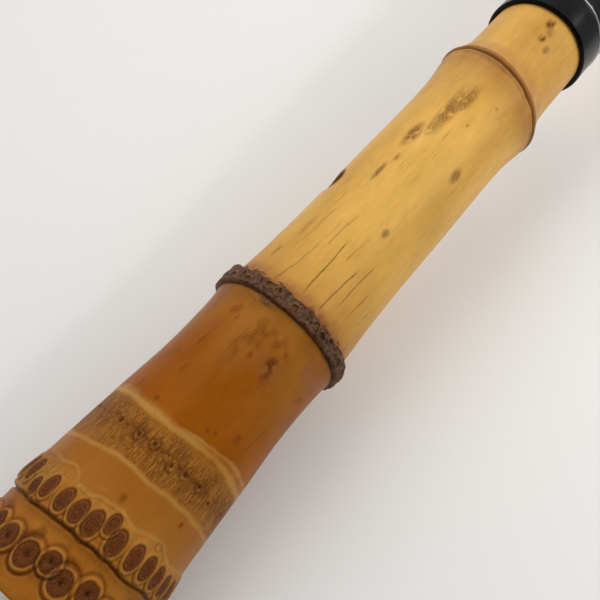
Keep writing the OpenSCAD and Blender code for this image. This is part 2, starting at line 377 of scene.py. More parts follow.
def fibre_band(skin):
    """Sanded band where the fibres show as dashes between two pale contour lines."""
    upper, lower = contour(skin, UPPER_CONTOUR, 41), contour(skin, LOWER_CONTOUR, 45)
    outer = contour(skin, OUTER_CONTOUR, 46)
    inside = smooth(lower + 0.2, lower + 1.4, skin.x) * (1 - smooth(upper - 2, upper - 0.5, skin.x))
    patches = skin.noise(2.6, 1.8, 42, 3)
    middle = bell(skin.x - 45.2, 5.2)
    skin.add("fibre", inside * (0.45 + 0.45 * middle + 0.9 * (patches - 0.5)))
    skin.add("pale", 0.42 * inside)
    pale_line(skin, upper, 1.1, 0.95)
    pale_line(skin, outer, 0.6, 0.8 * smooth(-8, -25, turned_from(skin.turn, 0)))
    pale_line(skin, lower, 0.8, 0.9)
    skin.add("line", 0.3 * bell(skin.x - outer - 0.9, 0.22) * smooth(0.4, 0.6, patches))
    skin.r = skin.r - 0.12 * inside * skin.noise(0.5, 3, 43)
    chain = bell(skin.x - 45.6 - 1.2 * (skin.noise(3, 1, 47) - 0.5), 1.1)
    skin.add("stain_and_shade", 0.85 * chain * smooth(0.42, 0.6, skin.noise(1.3, 1, 48, 2)) * inside)
    # small bud eyes in a row round the middle of the band
    for k, turn in enumerate((3, -9, -25.6, -36, -49, -63, 20, 52, 74, 98, 127, 160, 190, 222, 250)):
        x = 45 + 0.7 * math.sin(k * 2.1)
        e = np.hypot((skin.x - x) / 1.2, skin.across(turn) / 1.0)
        skin.add("line", 0.8 * (1 - smooth(0.3, 0.6, e)))
        skin.add("pale", 0.6 * bell(e - 1.0, 0.2))
        skin.add("line", 0.6 * bell(e - 1.3, 0.16) * smooth(0.35, 0.6, patches))
        skin.add("stain_and_shade", 0.6 * bell(e - 1.5, 0.5) * patches)
        skin.r = skin.r - 0.3 * bell(e, 0.4) + 0.1 * bell(e - 1, 0.3)


def eased(path, times=2):
    """The path with its corners cut, so that it curves."""
    for _ in range(times):
        p = np.array(path, float)
        cut = np.stack([0.75 * p[:-1] + 0.25 * p[1:], 0.25 * p[:-1] + 0.75 * p[1:]], 1)
        path = np.concatenate([p[:1], cut.reshape(-1, 2), p[-1:]])
    return path


def distance_to_path(skin, path):
    """Distance in mm over the skin from a curved path through x and turn."""
    best = np.full(skin.x.shape, 1e3)
    path = eased(path)
    for (x0, t0), (x1, t1) in zip(path, path[1:]):
        dx, da = x1 - x0, math.radians(t1 - t0) * 23.5
        px, pa = skin.x - x0, skin.across(t0)
        t = np.clip((px * dx + pa * da) / (dx * dx + da * da), 0, 1)
        best = np.minimum(best, np.hypot(px - t * dx, pa - t * da))
    return best


def amber_zone(skin):
    """Worn, glassy patch between the scars and the fibre band, with an uneven lower edge."""
    edge = contour(skin, AMBER_CONTOUR, 51)
    above_scars = smooth(24.5, 26.5, skin.x) * (1 - smooth(edge - 0.4, edge + 1.2, skin.x))
    skin.add("pale", 0.34 * above_scars)
    skin.add("pale", 0.22 * smooth(24.5, 30, skin.x) * (1 - smooth(38, 39, skin.x)))
    pale_line(skin, edge + 0.2, 0.6, 0.75)
    skin.add("line", 0.22 * bell(skin.x - edge + 0.5, 0.2) * smooth(0.45, 0.6, skin.noise(5, 1, 52)))
    for path in CURLS:
        away = distance_to_path(skin, path) + 0.8 * (skin.noise(1.6, 1, 54) - 0.5)
        skin.add("pale", 0.38 * bell(away, 0.35) * (0.4 + skin.noise(3, 1, 55)))
    hairs = bell(turned_from(skin.turn, 42), 19) * bell(skin.x - 24.5, 5)
    skin.add("fibre", 0.8 * hairs)
    skin.add("pale", 0.7 * hairs)
    skin.add("fibre", 0.5 * bell(skin.x - 26.6, 1.6) * skin.noise(2.5, 1, 53))
    skin.add("pale", 0.55 * bell(turned_from(skin.turn, 46), 12) * bell(skin.x - 32, 5))
    ring = np.hypot(skin.x - 28.8, skin.across(-53))
    skin.add("line", 0.45 * bell(ring - 0.95, 0.22))
    skin.add("pale", 0.8 * (1 - smooth(0.5, 0.9, ring)))


def node_scab(skin):
    """Rough grey-brown scab left by the roots of the lower node, with small root eyes."""
    turn = turned_from(skin.turn, 0)
    wave, fine = skin.noise(4.5, 1, 61, 3) - 0.5, skin.noise(1.3, 1, 62, 3)
    broad = bell(turned_from(skin.turn, 62), 30)
    low = 94.5 + 0.9 * wave
    high = 98.9 + 1.5 * wave + 1.9 * broad + 0.9 * (fine - 0.5)
    body = smooth(low - 0.15, low + 0.15, skin.x) * (1 - smooth(high - 0.3, high + 0.2, skin.x))
    crust = smooth(low - 0.35, low - 0.1, skin.x) * (1 - smooth(high - 0.2, high + 0.3, skin.x))
    top = 22.75 + 0.75 * (fine - 0.5) + 0.25 * wave
    for k in range(28):
        centre = 8 + k * 360 / 28 + 5 * math.sin(k * 1.7)
        size = 1.15 + 0.4 * math.sin(k * 2.9)
        e = np.hypot(skin.x - 96.7 - 0.7 * math.cos(k * 3.3), skin.across(centre)) / size
        e = e * (1 + 0.5 * (fine - 0.5))
        top = top + 0.32 * bell(e - 1, 0.3) - 0.4 * bell(e, 0.45)
        share = smooth(0.38, 0.62, fine)
        skin.add("rim", 0.75 * np.maximum(bell(e - 1, 0.14), bell(e - 0.35, 0.1)) * body * share)
        skin.add("line", 0.75 * body * np.maximum(bell(e, 0.2), bell(e - 0.68, 0.16)))
    crumbs = smooth(0.6, 0.68, skin.noise(2.0, 1, 63, 3))
    above = crumbs * smooth(high - 0.5, high, skin.x) * (1 - smooth(high + 1.2, high + 2.8, skin.x))
    below = bell(turn - 4, 11) * smooth(0.42, 0.55, fine) * smooth(92, 92.8, skin.x)
    below = below * (1 - smooth(low, low + 0.3, skin.x))
    skin.r = skin.r + (top - skin.r) * body + 0.45 * above + 0.5 * below
    skin.add("scab", np.maximum(crust, 0.75 * below))
    skin.add("stain_and_shade", np.maximum(0.9 * above, 0.75 * bell(skin.x - high, 1.6) * (1 - body) * (0.4 + fine)))
    skin.add("line", np.maximum(0.85 * bell(skin.x - low + 0.25, 0.28), 0.5 * bell(skin.x - high, 0.3)))
    lip = bell(skin.x - low - 0.1, 0.14) * smooth(0.42, 0.62, skin.noise(5, 1, 64))
    skin.add("rim", lip)
    skin.add("stain_and_shade", 0.35 * bell(skin.x - 91.5, 3.2) * skin.noise(6, 1, 65))
    skin.add("mauve", 0.9 * bell(skin.x - high - 1.5, 2.4) * (1 - body) * (0.4 + 0.9 * fine))
    skin.add("mauve", 0.8 * bell(skin.x - 86, 8) * smooth(0.48, 0.7, skin.noise(9, 1.3, 66, 3)))
    skin.add("stain_and_shade", 0.6 * bell(skin.x - 84, 9) * smooth(0.58, 0.72, skin.noise(4, 1.6, 67, 3)))


def node_line(skin, centre, lean, mauve=1.0):
    """Thin uneven lip of an upper node between two fine dark lines, stained mauve beside it."""
    ripple = skin.noise(4, 1, 71, 3) - 0.5
    s = skin.x - centre - lean * np.sin(np.radians(skin.turn)) + 0.9 * ripple
    skin.r = skin.r + 0.4 * bell(s - 0.3, 0.42) - 0.45 * bell(s + 0.55, 0.34)
    skin.r = skin.r - 0.42 * bell(s - 1.2, 0.4) - 0.12 * bell(s + 2.4, 1)
    patchy_darkening = skin.noise(7, 1, 72, 3)
    skin.add("line", bell(s + 0.5, 0.24) * (0.4 + 0.6 * patchy_darkening))
    skin.add("line", 0.4 * bell(s - 1.15, 0.22))
    skin.add("rim", 0.2 * bell(s - 0.3, 0.3))
    skin.add("stain_and_shade", 0.5 * mauve * bell(s + 1.6, 1.4) * smooth(0.4, 0.7, patchy_darkening))
    skin.add("mauve", mauve * 1.1 * bell(s - 0.6, 2.0) * (0.7 + 0.5 * patchy_darkening))
    skin.add("mauve", mauve * 0.5 * bell(s + 3, 4.5) * (0.5 + patchy_darkening))
    skin.add("mauve", mauve * 0.5 * bell(s - 4, 4.5) * (0.5 + patchy_darkening))


def lean_of_node(x, centre, lean, turn):
    """How far an outline is carried along the culm so that its node leans."""
    return lean * np.sin(np.radians(turn)) * bell(x - centre, 26)


def marks(skin, stains, cracks):
    mottle = skin.noise(1.5, 1.6, 81, 3)
    for x, turn, length, width, strength in stains:
        e = np.hypot((skin.x - x) / length, skin.across(turn) / width)
        spot = 1 - smooth(0.3, 1.15, e)
        soft = smooth(0.22, 0.5, mottle) if length > 2 else 0.6 + 0.4 * mottle
        skin.add("stain_and_shade", 1.15 * strength * spot * soft)
    wiggle = skin.noise(2.6, 2.5, 82, 4) - 0.5
    for (x0, t0), (x1, t1), strength in cracks:
        along = (skin.x - x0) / (x1 - x0)
        away = np.radians(turned_from(skin.turn, t0 + (t1 - t0) * along)) * skin.r
        away = away + 1.5 * wiggle
        ends = smooth(0, 0.12, along) * (1 - smooth(0.8, 1, along))
        cut = bell(away, 0.15) * ends * strength
        skin.add("line", 0.95 * cut * smooth(0.15, 0.4, skin.noise(2, 2, 83)))
        skin.r = skin.r - 0.1 * cut


def cut_holes(skin, holes):
    """Which grid points fall inside a finger hole, with the rim points moved onto its edge."""
    inside = np.zeros(skin.x.shape, bool)
    step = 2 * math.pi * ROOT_R / skin.x.shape[1]
    for x, turn in holes:
        side = skin.r * np.sin(np.radians(turned_from(skin.turn, turn)))
        along = skin.x - x
        away = np.hypot(along, side)
        facing = np.abs(turned_from(skin.turn, turn)) < 60
        hit = facing & (away < HOLE_R + HOLE_EASE - 0.5 * step)
        rim = facing & ~hit & (away < HOLE_R + HOLE_EASE + 0.75 * step)
        scale = np.where(rim, (HOLE_R + HOLE_EASE) / np.maximum(away, 1e-6), 1)
        moved_side = np.clip(side * scale / skin.r, -1, 1)
        skin.x = np.where(rim, x + along * scale, skin.x)
        skin.turn = np.where(rim, turn + np.degrees(np.arcsin(moved_side)), skin.turn)
        inside |= hit
        skin.add("stain_and_shade", np.where(facing, 0.5 * bell(away - HOLE_R - HOLE_EASE, 0.8), 0))
    return inside


# ---------------------------------------------------------------- meshes


def point(x, turn, r):
    """Frame position, in metres, of places on the flute."""
    t = np.radians(turn)
    return np.stack([ROOT_X + x * MM, r * np.sin(t) * MM, AXIS_Z + r * np.cos(t) * MM], -1)


class Shell:
    """Collects points and faces, then makes one mesh object of them."""

    def __init__(self):
        self.points, self.faces, self.masks, self.uv, self.slots = [], [], [], [], []
        self.count = 0

    def add_points(self, places, masks=None, uv=None):
        places = places.reshape(-1, 3)
        start, n = self.count, len(places)
        self.points.append(places)
        self.masks.append(np.zeros((n, len(Skin.MASKS))) if masks is None else masks)
        self.uv.append(np.zeros((n, 2)) if uv is None else uv)
        self.count += n
        return start

    def add_faces(self, quads, slot=0):
        quads = np.asarray(quads, np.int64).reshape(-1, 4)
        self.faces.append(quads)
        self.slots.append(np.full(len(quads), slot))

    def make(self, name, materials):
        places, quads = np.concatenate(self.points), np.concatenate(self.faces)
        masks, uv = np.concatenate(self.masks), np.concatenate(self.uv)
        used = np.zeros(len(places), bool)
        used[quads.ravel()] = True
        index = np.cumsum(used) - 1
        places, masks, uv, quads = places[used], masks[used], uv[used], index[quads]
        mesh = bpy.data.meshes.new(name)
        mesh.vertices.add(len(places))
        mesh.vertices.foreach_set("co", places.astype(np.float32).ravel())
        mesh.loops.add(quads.size)
        mesh.loops.foreach_set("vertex_index", quads.ravel().astype(np.int32))
        mesh.polygons.add(len(quads))
        mesh.polygons.foreach_set("loop_start", np.arange(0, quads.size, 4, dtype=np.int32))
        slots = np.concatenate(self.slots).astype(np.int32)
        mesh.polygons.foreach_set("material_index", slots)
        mesh.update(calc_edges=True)
        layer = mesh.uv_layers.new(name="skin")
        flat = uv[quads.ravel()].reshape(-1, 4, 2)
        wrap = flat[..., 0].max(1) - flat[..., 0].min(1) > 40
        low = wrap[:, None] & (flat[..., 0] < 0)
        flat[..., 0] = np.where(low, flat[..., 0] + math.radians(360) * UV_R, flat[..., 0])
        layer.data.foreach_set("uv", flat.astype(np.float32).ravel())
        for k, mask in enumerate(Skin.MASKS):
            attribute = mesh.attributes.new(mask, "FLOAT", "POINT")
            attribute.data.foreach_set("value", masks[:, k].astype(np.float32))
        mesh.polygons.foreach_set("use_smooth", np.ones(len(quads), bool))
        mesh.validate(clean_customdata=False)
        thing = bpy.data.objects.new(name, mesh)
        bpy.context.scene.collection.objects.link(thing)
        for material in materials:
            mesh.materials.append(material)
        return thing


UV_R = 21.0


def add_skin(shell, skin, holes):
    """Adds the outer skin with its finger holes; returns the point indices as a grid."""
    inside = cut_holes(skin, holes)
    places = point(skin.x, skin.turn, skin.r)
    masks = np.stack([skin.masks[m].ravel() for m in Skin.MASKS], -1)
    uv = np.stack([np.radians(skin.turn).ravel() * UV_R, skin.x.ravel()], -1)
    start = shell.add_points(places, masks, uv)
    rows, columns = skin.x.shape
    grid = start + np.arange(rows * columns).reshape(rows, columns)
    nxt = np.roll(grid, -1, axis=1)
    quads = np.stack([grid[:-1], nxt[:-1], nxt[1:], grid[1:]], -1)
    gone = inside | np.roll(inside, -1, axis=1)
    gone = gone[:-1] | gone[1:]
    shell.add_faces(quads[~gone])
    hole_walls(shell, quads, gone, places, holes)
    return grid


def hole_walls(shell, quads, gone, places, holes):
    """Eased rims and straight walls, hung from the edge that the cut leaves in the skin."""
    kept, cut = quads[~gone].reshape(-1, 4), quads[gone].reshape(-1, 4)
    if not len(cut):
        return
    near = np.isin(kept, cut).any(axis=1)
    kept_edges = {tuple(e) for q in kept[near] for e in zip(q, np.roll(q, -1))}
    edges = [e for q in cut for e in zip(q, np.roll(q, -1)) if (e[1], e[0]) in kept_edges]
    flat = places.reshape(-1, 3)
    first = quads.min()
    rim = sorted({int(i) for e in edges for i in e})
    where = {v: k for k, v in enumerate(rim)}
    top = flat[np.array(rim) - first]
    levels = [top]
    deep = []
    for p in top:
        mm = (p - np.array([ROOT_X, 0, AXIS_Z])) / MM
        turn = math.degrees(math.atan2(mm[1], mm[2]))
        x, hole_turn = min(
            holes, key=lambda h: math.hypot(mm[0] - h[0], 0.4 * turned_from(turn, h[1]))
        )
        axis = np.array([0, math.sin(math.radians(hole_turn)), math.cos(math.radians(hole_turn))])
        origin = np.array([x, 0, 0])
        height = float((mm - origin) @ axis)
        away = mm - origin - height * axis
        away = away / np.linalg.norm(away)
        deep.append((origin, axis, height, away))
    for inward, down in ((0.45, 0.12), (0.85, 0.45), (1, 0.95), (1, 2.2), (1, None)):
        level = []
        for origin, axis, height, away in deep:
            r = HOLE_R + HOLE_EASE * (1 - inward)
            side = float(np.hypot(r * away[1], r * away[2]))
            floor = math.sqrt(max(HOLE_FLOOR_R ** 2 - side ** 2, 1))
            h = floor if down is None else height - down
            mm = origin + h * axis + r * away
            level.append(np.array([ROOT_X, 0, AXIS_Z]) + mm * MM)
        levels.append(np.array(level))
    wear = np.zeros((len(rim), len(Skin.MASKS)))
    wear[:, Skin.MASKS.index("stain_and_shade")] = 0.7
    wear[:, Skin.MASKS.index("warm")] = 0.6
    starts = []
    for level in levels:
        mm = (level - np.array([ROOT_X, 0, AXIS_Z])) / MM
        uv = np.stack([np.arctan2(mm[:, 1], mm[:, 2]) * UV_R, mm[:, 0]], -1)
        starts.append(shell.add_points(level, wear, uv))
    quads = []
    for a, b in edges:
        i, j = where[int(a)], where[int(b)]
        for upper, lower in zip(starts, starts[1:]):
            quads.append((upper + i, upper + j, lower + j, lower + i))
        quads.append((a, b, starts[0] + j, starts[0] + i))
    shell.add_faces(quads)


def add_bands(shell, outline, columns, first=None, last=None, slot=0, warm=0.5):
    """Rings of faces along an outline of (x, radius), joined to existing rings at its ends."""
    angles = -180 + 360 * np.arange(columns) / columns
    rings = [first] if first is not None else []
    for x, r in outline:
        places = point(np.full(columns, float(x)), angles, np.full(columns, float(r)))
        masks = np.zeros((columns, len(Skin.MASKS)))
        masks[:, Skin.MASKS.index("warm")] = warm
        uv = np.stack([np.radians(angles) * UV_R, np.full(columns, float(x) + float(r))], -1)
        start = shell.add_points(places, masks, uv)
        rings.append(start + np.arange(columns))
    if last is not None:
        rings.append(last)
    for a, b in zip(rings, rings[1:]):
        quads = np.stack([a, np.roll(a, -1), np.roll(b, -1), b], -1)
        shell.add_faces(quads, slot)
    return rings[-1]


def lower_skin():
    fine = np.arange(0, 62, 0.27)
    rows = np.concatenate([fine, np.arange(62, 92, 0.4), np.arange(92, 103, 0.22),
                           np.arange(103, 204, 0.5), np.arange(204, 216, 0.25),
                           np.arange(216, SLEEVE_START + SLEEVE_STEP, 0.5)])
    rows = np.concatenate([[0, 0.15, 0.3, 0.5], rows[rows > 0.6]])
    skin = Skin(rows, COLUMNS, LOWER_LINE)
    carried = skin.x - lean_of_node(skin.x, NODE_X, NODE_LEAN, skin.turn)
    skin.r = cubic(LOWER_LINE, carried)
    skin.r = skin.r + 0.22 * (skin.noise(26, 2.5, 11) - 0.5) * smooth(3, 12, skin.x)
    tone = skin.noise(16, 3.5, 12, 3)
    warm = np.interp(skin.x, *np.array(WARMTH, float).T)
    skin.add("warm", np.clip(warm + 0.5 * (tone - 0.5), 0, 1))
    amber_zone(skin)
    fibre_band(skin)
    root_groove(skin)
    scar_row(skin, round_the_back(SCARS, SCAR_TURN, 5), SCAR_LEN, SCAR_WIDTH, False)
    scar_row(skin, round_the_back(END_SCARS, END_SCAR_TURN, 9), END_SCAR_LEN, END_SCAR_WIDTH, True)
    # painted shade: darkens the culm in patches round the end scars, x about 4 to 17, as if shade falls on
    # the root end
    skin.add("stain_and_shade", bell(skin.x - 10.5, 6.5) * smooth(0.42, 0.62, skin.noise(5, 1, 15, 3)))
    node_scab(skin)
    node_line(skin, NODE_X, NODE_LEAN)
    marks(skin, STAINS, CRACKS)
    skin.r = np.minimum(skin.r, ROOT_R - 0.02)
    return skin


def build_lower_culm(skin_material, grain_material):
    shell = Shell()
    skin = lower_skin()
    grid = add_skin(shell, skin, LOWER_HOLES)
    face = [(0.0, r) for r in np.linspace(END_R - 0.4, DRILLED_R, 12)]
    end = add_bands(shell, face, COLUMNS, first=grid[0], slot=1, warm=0.6)
    seat = [(SLEEVE_START + SLEEVE_STEP, SEAT_R), (LOWER_END - 0.3, SEAT_R), (LOWER_END, SEAT_R - 0.3)]
    seat += [(LOWER_END, TENON_R + 0.05), (TENON_START, TENON_R + 0.05), (TENON_START, DRILLED_R)]
    add_bands(shell, seat, COLUMNS, first=grid[-1], last=end, slot=1)
    return shell.make("lower_bamboo", [skin_material, grain_material])


def mouth_height(y):
    """Where the mouth end's three planes leave the culm at a height y on the finger-hole side."""
    cut = FLUTE_LEN - (y - EDGE_Y) / math.tan(CUT_ANGLE)
    chin = FLUTE_LEN - (-CHIN_Y - y) / math.tan(CHIN_ANGLE)
    return np.minimum(np.minimum(cut, chin), FLUTE_LEN)


def upper_skin():
    start = SLEEVE_END - SLEEVE_STEP
    rows = np.arange(start, FLUTE_LEN + 1e-6, UPPER_ROW_STEP)
    skin = Skin(rows, UPPER_COLUMNS, UPPER_LINE)
    sides = np.sin(np.radians(skin.turn[0]))
    reach = mouth_height(MOUTH_R * sides)
    share = np.clip((skin.x - SQUEEZE_FROM) / (rows[-1] - SQUEEZE_FROM), 0, 1)
    squeezed = SQUEEZE_FROM + share * (reach[None, :] - SQUEEZE_FROM)
    skin.x = np.where(share > 0, squeezed, skin.x)
    skin.r = cubic(UPPER_LINE, skin.x)
    skin.r = skin.r + 0.16 * (skin.noise(24, 2.5, 13) - 0.5) * (1 - smooth(520, 530, skin.x))
    tone = skin.noise(16, 3.5, 14, 3)
    skin.add("warm", np.clip(0.25 + 0.8 * (tone - 0.5) + 0.4 * smooth(470, 540, skin.x), 0, 1))
    for x, lean in ((335.8, 1.5), (446.8, -1.5)):
        node_line(skin, x, lean)
    node_line(skin, 536.5, 0, 0.7)
    marks(skin, UPPER_STAINS, UPPER_CRACKS)
    limit = (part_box("upper_culm")[1].z - AXIS_Z) / MM
    skin.r = np.minimum(skin.r, limit)
    return skin


def build_upper_culm(skin_material, grain_material):
    shell = Shell()
    skin = upper_skin()
    grid = add_skin(shell, skin, UPPER_HOLES)
    turns, sines = skin.turn[-1], np.sin(np.radians(skin.turn[-1]))
    rings, edge_r = [grid[-1]], skin.r[-1]
    for share in np.linspace(0, 1, 15)[1:]:
        r = edge_r + (DRILLED_R - edge_r) * share
        y = r * sines
        x = mouth_height(y)
        z = r * np.cos(np.radians(turns))
        slope = np.hypot((y - EDGE_Y) / math.sin(CUT_ANGLE), z)
        bed = (slope < INLAY_R) & (y > EDGE_Y - 1)
        x = np.where(bed, x - BED_DEPTH, x)
        masks = np.zeros((len(turns), len(Skin.MASKS)))
        masks[:, Skin.MASKS.index("warm")] = 0.4
        uv = np.stack([np.radians(turns) * UV_R, x], -1)
        start = shell.add_points(point(x, turns, r), masks, uv)
        rings.append(start + np.arange(len(turns)))
    for a, b in zip(rings, rings[1:]):
        shell.add_faces(np.stack([a, np.roll(a, -1), np.roll(b, -1), b], -1)[:, ::-1], 1)
    seat = [(SLEEVE_END - SLEEVE_STEP, SEAT_R), (UPPER_START + 0.3, SEAT_R), (UPPER_START, SEAT_R - 0.3)]
    seat += [(UPPER_START, SOCKET_R + 0.02), (SOCKET_END, SOCKET_R + 0.02), (SOCKET_END, DRILLED_R)]
    add_bands(shell, seat, UPPER_COLUMNS, first=grid[0], last=rings[-1], slot=1)
    return shell.make("upper_bamboo", [skin_material, grain_material])


# ---------------------------------------------------------------- materials


class Graph:
    """A material's node tree, with one-line calls for its nodes."""

    def __init__(self, name):
        self.material = bpy.data.materials.new(name)
        self.material.use_nodes = True
        self.tree = self.material.node_tree
        self.tree.nodes.clear()
        self.shader = self.tree.nodes.new("ShaderNodeBsdfPrincipled")
        out = self.tree.nodes.new("ShaderNodeOutputMaterial")
        self.tree.links.new(self.shader.outputs[0], out.inputs["Surface"])

    def node(self, kind, output=0, settings=None, **inputs):
        n = self.tree.nodes.new("ShaderNode" + kind)
        for key, value in (settings or {}).items():
            setattr(n, key, value)
        for key, value in inputs.items():
            self.put(n.inputs[int(key[1:]) if key[0] == "_" else key.replace("_", " ")], value)
        return n.outputs[output]

    def put(self, socket, value):
        if isinstance(value, bpy.types.NodeSocket):
            self.tree.links.new(value, socket)
        else:
            socket.default_value = value

    def set(self, **inputs):
        for key, value in inputs.items():
            self.put(self.shader.inputs[key.replace("_", " ")], value)
        return self.material

    def mask(self, name):
        return self.node("Attribute", 2, {"attribute_name": name})

    def math(self, operation, a, b=0.0, clamp=False):
        return self.node("Math", 0, {"operation": operation, "use_clamp": clamp}, _0=a, _1=b)

    def mix(self, amount, a, b):
        return self.node("Mix", 2, {"data_type": "RGBA"}, _0=amount, _6=a, _7=b)

    def ramp(self, value, low, high):
        return self.node("MapRange", 0, {"clamp": True}, _0=value, _1=low, _2=high, _3=0.0, _4=1.0)

    def place(self, scale, source="Object"):
        kind = ("UVMap", {"uv_map": "skin"}) if source == "skin" else ("TexCoord", {})
        output = 0 if source == "skin" else 3
        raw = self.node(kind[0], output, kind[1])
        return self.node("Mapping", 0, None, Vector=raw, Scale=scale)

    def noise(self, scale, detail=3.0, source="Object", rough=0.55, distort=0.0):
        where = self.place(scale, source)
        return self.node("TexNoise", 0, None, Vector=where, Scale=1.0, Detail=detail,
                         Roughness=rough, Distortion=distort)

    def cells(self, scale, source="Object", randomness=1.0):
        where = self.place(scale, source)
        return self.node("TexVoronoi", 0, None, Vector=where, Scale=1.0, Randomness=randomness)

    def bump(self, height, distance, strength=1.0, normal=None):
        extra = {} if normal is None else {"Normal": normal}
        return self.node("Bump", 0, None, Height=height, Distance=distance, Strength=strength, **extra)


def rgb(red, green, blue):
    """Linear colour from 8-bit screen values."""
    def one(c):
        c = c / 255
        return c / 12.92 if c <= 0.04045 else ((c + 0.055) / 1.055) ** 2.4
    return (one(red), one(green), one(blue), 1.0)


def bamboo_skin(name):
    """Polished culm skin: honey to amber, faint fibres, dash-like fibres where it is sanded."""
    g = Graph(name)
    honey, amber = rgb(226, 176, 88), rgb(146, 78, 1)
    cloud = g.noise((38, 90, 90), 4.0)
    streak = g.noise((22, 900, 900), 3.0)
    colour = g.mix(g.mask("warm"), honey, amber)
    blotch = g.noise((150, 260, 260), 5.0, "Object", 0.65)
    tone = g.math("ADD", g.math("MULTIPLY", cloud, -0.4), g.math("MULTIPLY", streak, -0.15))
    tone = g.math("ADD", tone, g.math("MULTIPLY", blotch, -0.3))
    colour = g.node("HueSaturation", 0, None, Color=colour, Value=g.math("ADD", tone, 1.42))
    hair = g.ramp(g.noise((4.5, 0.1, 1), 2.0, "skin"), 0.58, 0.68)
    hairy = g.ramp(g.noise((0.09, 0.04, 1), 3.0, "skin"), 0.42, 0.62)
    colour = g.mix(g.math("MULTIPLY", g.math("MULTIPLY", hair, hairy), 0.5), colour, rgb(104, 54, 12))
    colour = g.mix(g.math("MULTIPLY", g.mask("mauve"), 0.7), colour, rgb(142, 82, 56))
    colour = g.mix(g.math("MULTIPLY", g.mask("pale"), 0.62), colour, rgb(190, 146, 76))

    dash = g.cells((2.7, 0.8, 1), "skin", 0.75)
    size = g.math("MULTIPLY", g.mask("fibre"), 0.4)
    size = g.math("ADD", size, g.math("MULTIPLY", g.noise((0.9, 0.3, 1), 3.0, "skin"), 0.26))
    dots = g.ramp(g.math("SUBTRACT", size, dash), -0.1, 0.06)
    dots = g.math("MULTIPLY", dots, g.ramp(g.mask("fibre"), 0.05, 0.4), True)
    combed = g.ramp(g.noise((3.0, 0.2, 1), 2.0, "skin"), 0.44, 0.6)
    dots = g.math("MAXIMUM", g.math("MULTIPLY", dots, 0.8),
                  g.math("MULTIPLY", combed, g.math("MULTIPLY", g.mask("fibre"), 1.1)), True)
    colour = g.mix(g.math("MULTIPLY", dots, 0.75), colour, rgb(84, 42, 8))

    broken = g.ramp(g.noise((1.3, 0.8, 1), 4.0, "skin", 0.7), 0.34, 0.56)
    patchy = g.math("ADD", g.math("MULTIPLY", broken, 0.5), 0.4)
    # real brown stains and the painted shade round the root end both darken the colour here
    patchy_darkening = g.math("MULTIPLY", g.mask("stain_and_shade"), patchy, True)
    colour = g.mix(patchy_darkening, colour, rgb(94, 40, 8))
    scar_grain = g.noise((3.4, 2.2, 1), 4.0, "skin", 0.7)
    scar_colour = g.mix(g.ramp(scar_grain, 0.35, 0.68), rgb(56, 24, 10), rgb(126, 70, 34))
    ragged = g.math("MULTIPLY", g.math("SUBTRACT", scar_grain, 0.5), 1.1)
    colour = g.mix(g.ramp(g.math("ADD", g.mask("scar"), ragged), 0.36, 0.62), colour, scar_colour)
    uneven = g.math("MULTIPLY", g.mask("rim"), g.math("ADD", scar_grain, 0.22), True)
    colour = g.mix(uneven, colour, rgb(176, 120, 56))
    scab_grain = g.noise((900, 900, 900), 4.0, "Object", 0.7)
    scab_colour = g.mix(g.ramp(scab_grain, 0.34, 0.66), rgb(46, 26, 18), rgb(122, 88, 70))
    bare = g.math("SUBTRACT", 1.0, g.math("MULTIPLY", g.mask("rim"), 0.6))
    scab = g.math("MULTIPLY", g.mask("scab"), bare)
    colour = g.mix(scab, colour, scab_colour)
    colour = g.mix(g.math("MULTIPLY", g.mask("line"), 0.92, True), colour, rgb(36, 15, 5))

    speck = g.cells((0.42, 0.3, 1), "skin", 1.0)
    specks = g.ramp(speck, 0.11, 0.05)
    some = g.ramp(g.noise((0.05, 0.03, 1), 2.0, "skin"), 0.52, 0.66)
    colour = g.mix(g.math("MULTIPLY", g.math("MULTIPLY", specks, some), 0.6), colour, rgb(96, 58, 28))

    wear = g.ramp(g.noise((60, 240, 240), 3.0), 0.35, 0.75)
    rough = g.math("ADD", g.math("MULTIPLY", wear, 0.14), 0.34)
    matt = g.math("ADD", g.math("MULTIPLY", g.mask("scar"), 0.7), g.math("MULTIPLY", g.mask("fibre"), 0.25))
    matt = g.math("ADD", g.math("MULTIPLY", g.mask("scab"), 0.3), matt)
    rough = g.math("ADD", rough, g.math("MULTIPLY", matt, 0.36), True)
    fibres = g.bump(streak, 0.00006)
    crusty = g.math("ADD", g.mask("scab"), g.math("MULTIPLY", g.mask("scar"), 0.6))
    tooth = g.math("MULTIPLY", scab_grain, crusty)
    relief = g.bump(tooth, 0.0005, 1.0, fibres)
    relief = g.bump(g.math("MULTIPLY", dots, -1.0), 0.00008, 1.0, relief)
    return g.set(Base_Color=colour, Roughness=rough, Normal=relief,
                 **{"Specular IOR Level": 0.13, "Specular Tint": (1.0, 0.72, 0.34, 1.0)})


def end_grain(name):
    """Sawn bamboo: pale ground with the dark ends of its fibre bundles, closer to the skin."""
    g = Graph(name)
    ground = g.mix(g.noise((260, 260, 260), 4.0), rgb(196, 152, 88), rgb(158, 108, 50))
    bundles = g.cells((500, 900, 900))
    colour = g.mix(g.math("MULTIPLY", g.ramp(bundles, 0.42, 0.24), 0.75), ground, rgb(92, 54, 24))
    relief = g.bump(bundles, 0.00012)
    rough = g.math("ADD", g.math("MULTIPLY", g.noise((300, 300, 300)), 0.2), 0.5)
    return g.set(Base_Color=colour, Roughness=rough, Normal=relief)


def black_sleeve(name):
    """Polished black lacquer with fine turning marks and dull rubbed patches."""
    g = Graph(name)
    turning = g.noise((2600, 30, 30), 2.0)
    rubbed = g.ramp(g.noise((120, 120, 120), 4.0), 0.42, 0.72)
    colour = g.mix(rubbed, rgb(5, 4, 7), rgb(13, 11, 15))
    rough = g.math("ADD", g.math("MULTIPLY", rubbed, 0.12), 0.16)
    relief = g.bump(turning, 0.00001, 1.0, g.bump(g.noise((240, 240, 240), 3.0), 0.00004))
    return g.set(Base_Color=colour, Roughness=rough, Normal=relief,
                 **{"Specular IOR Level": 0.12})


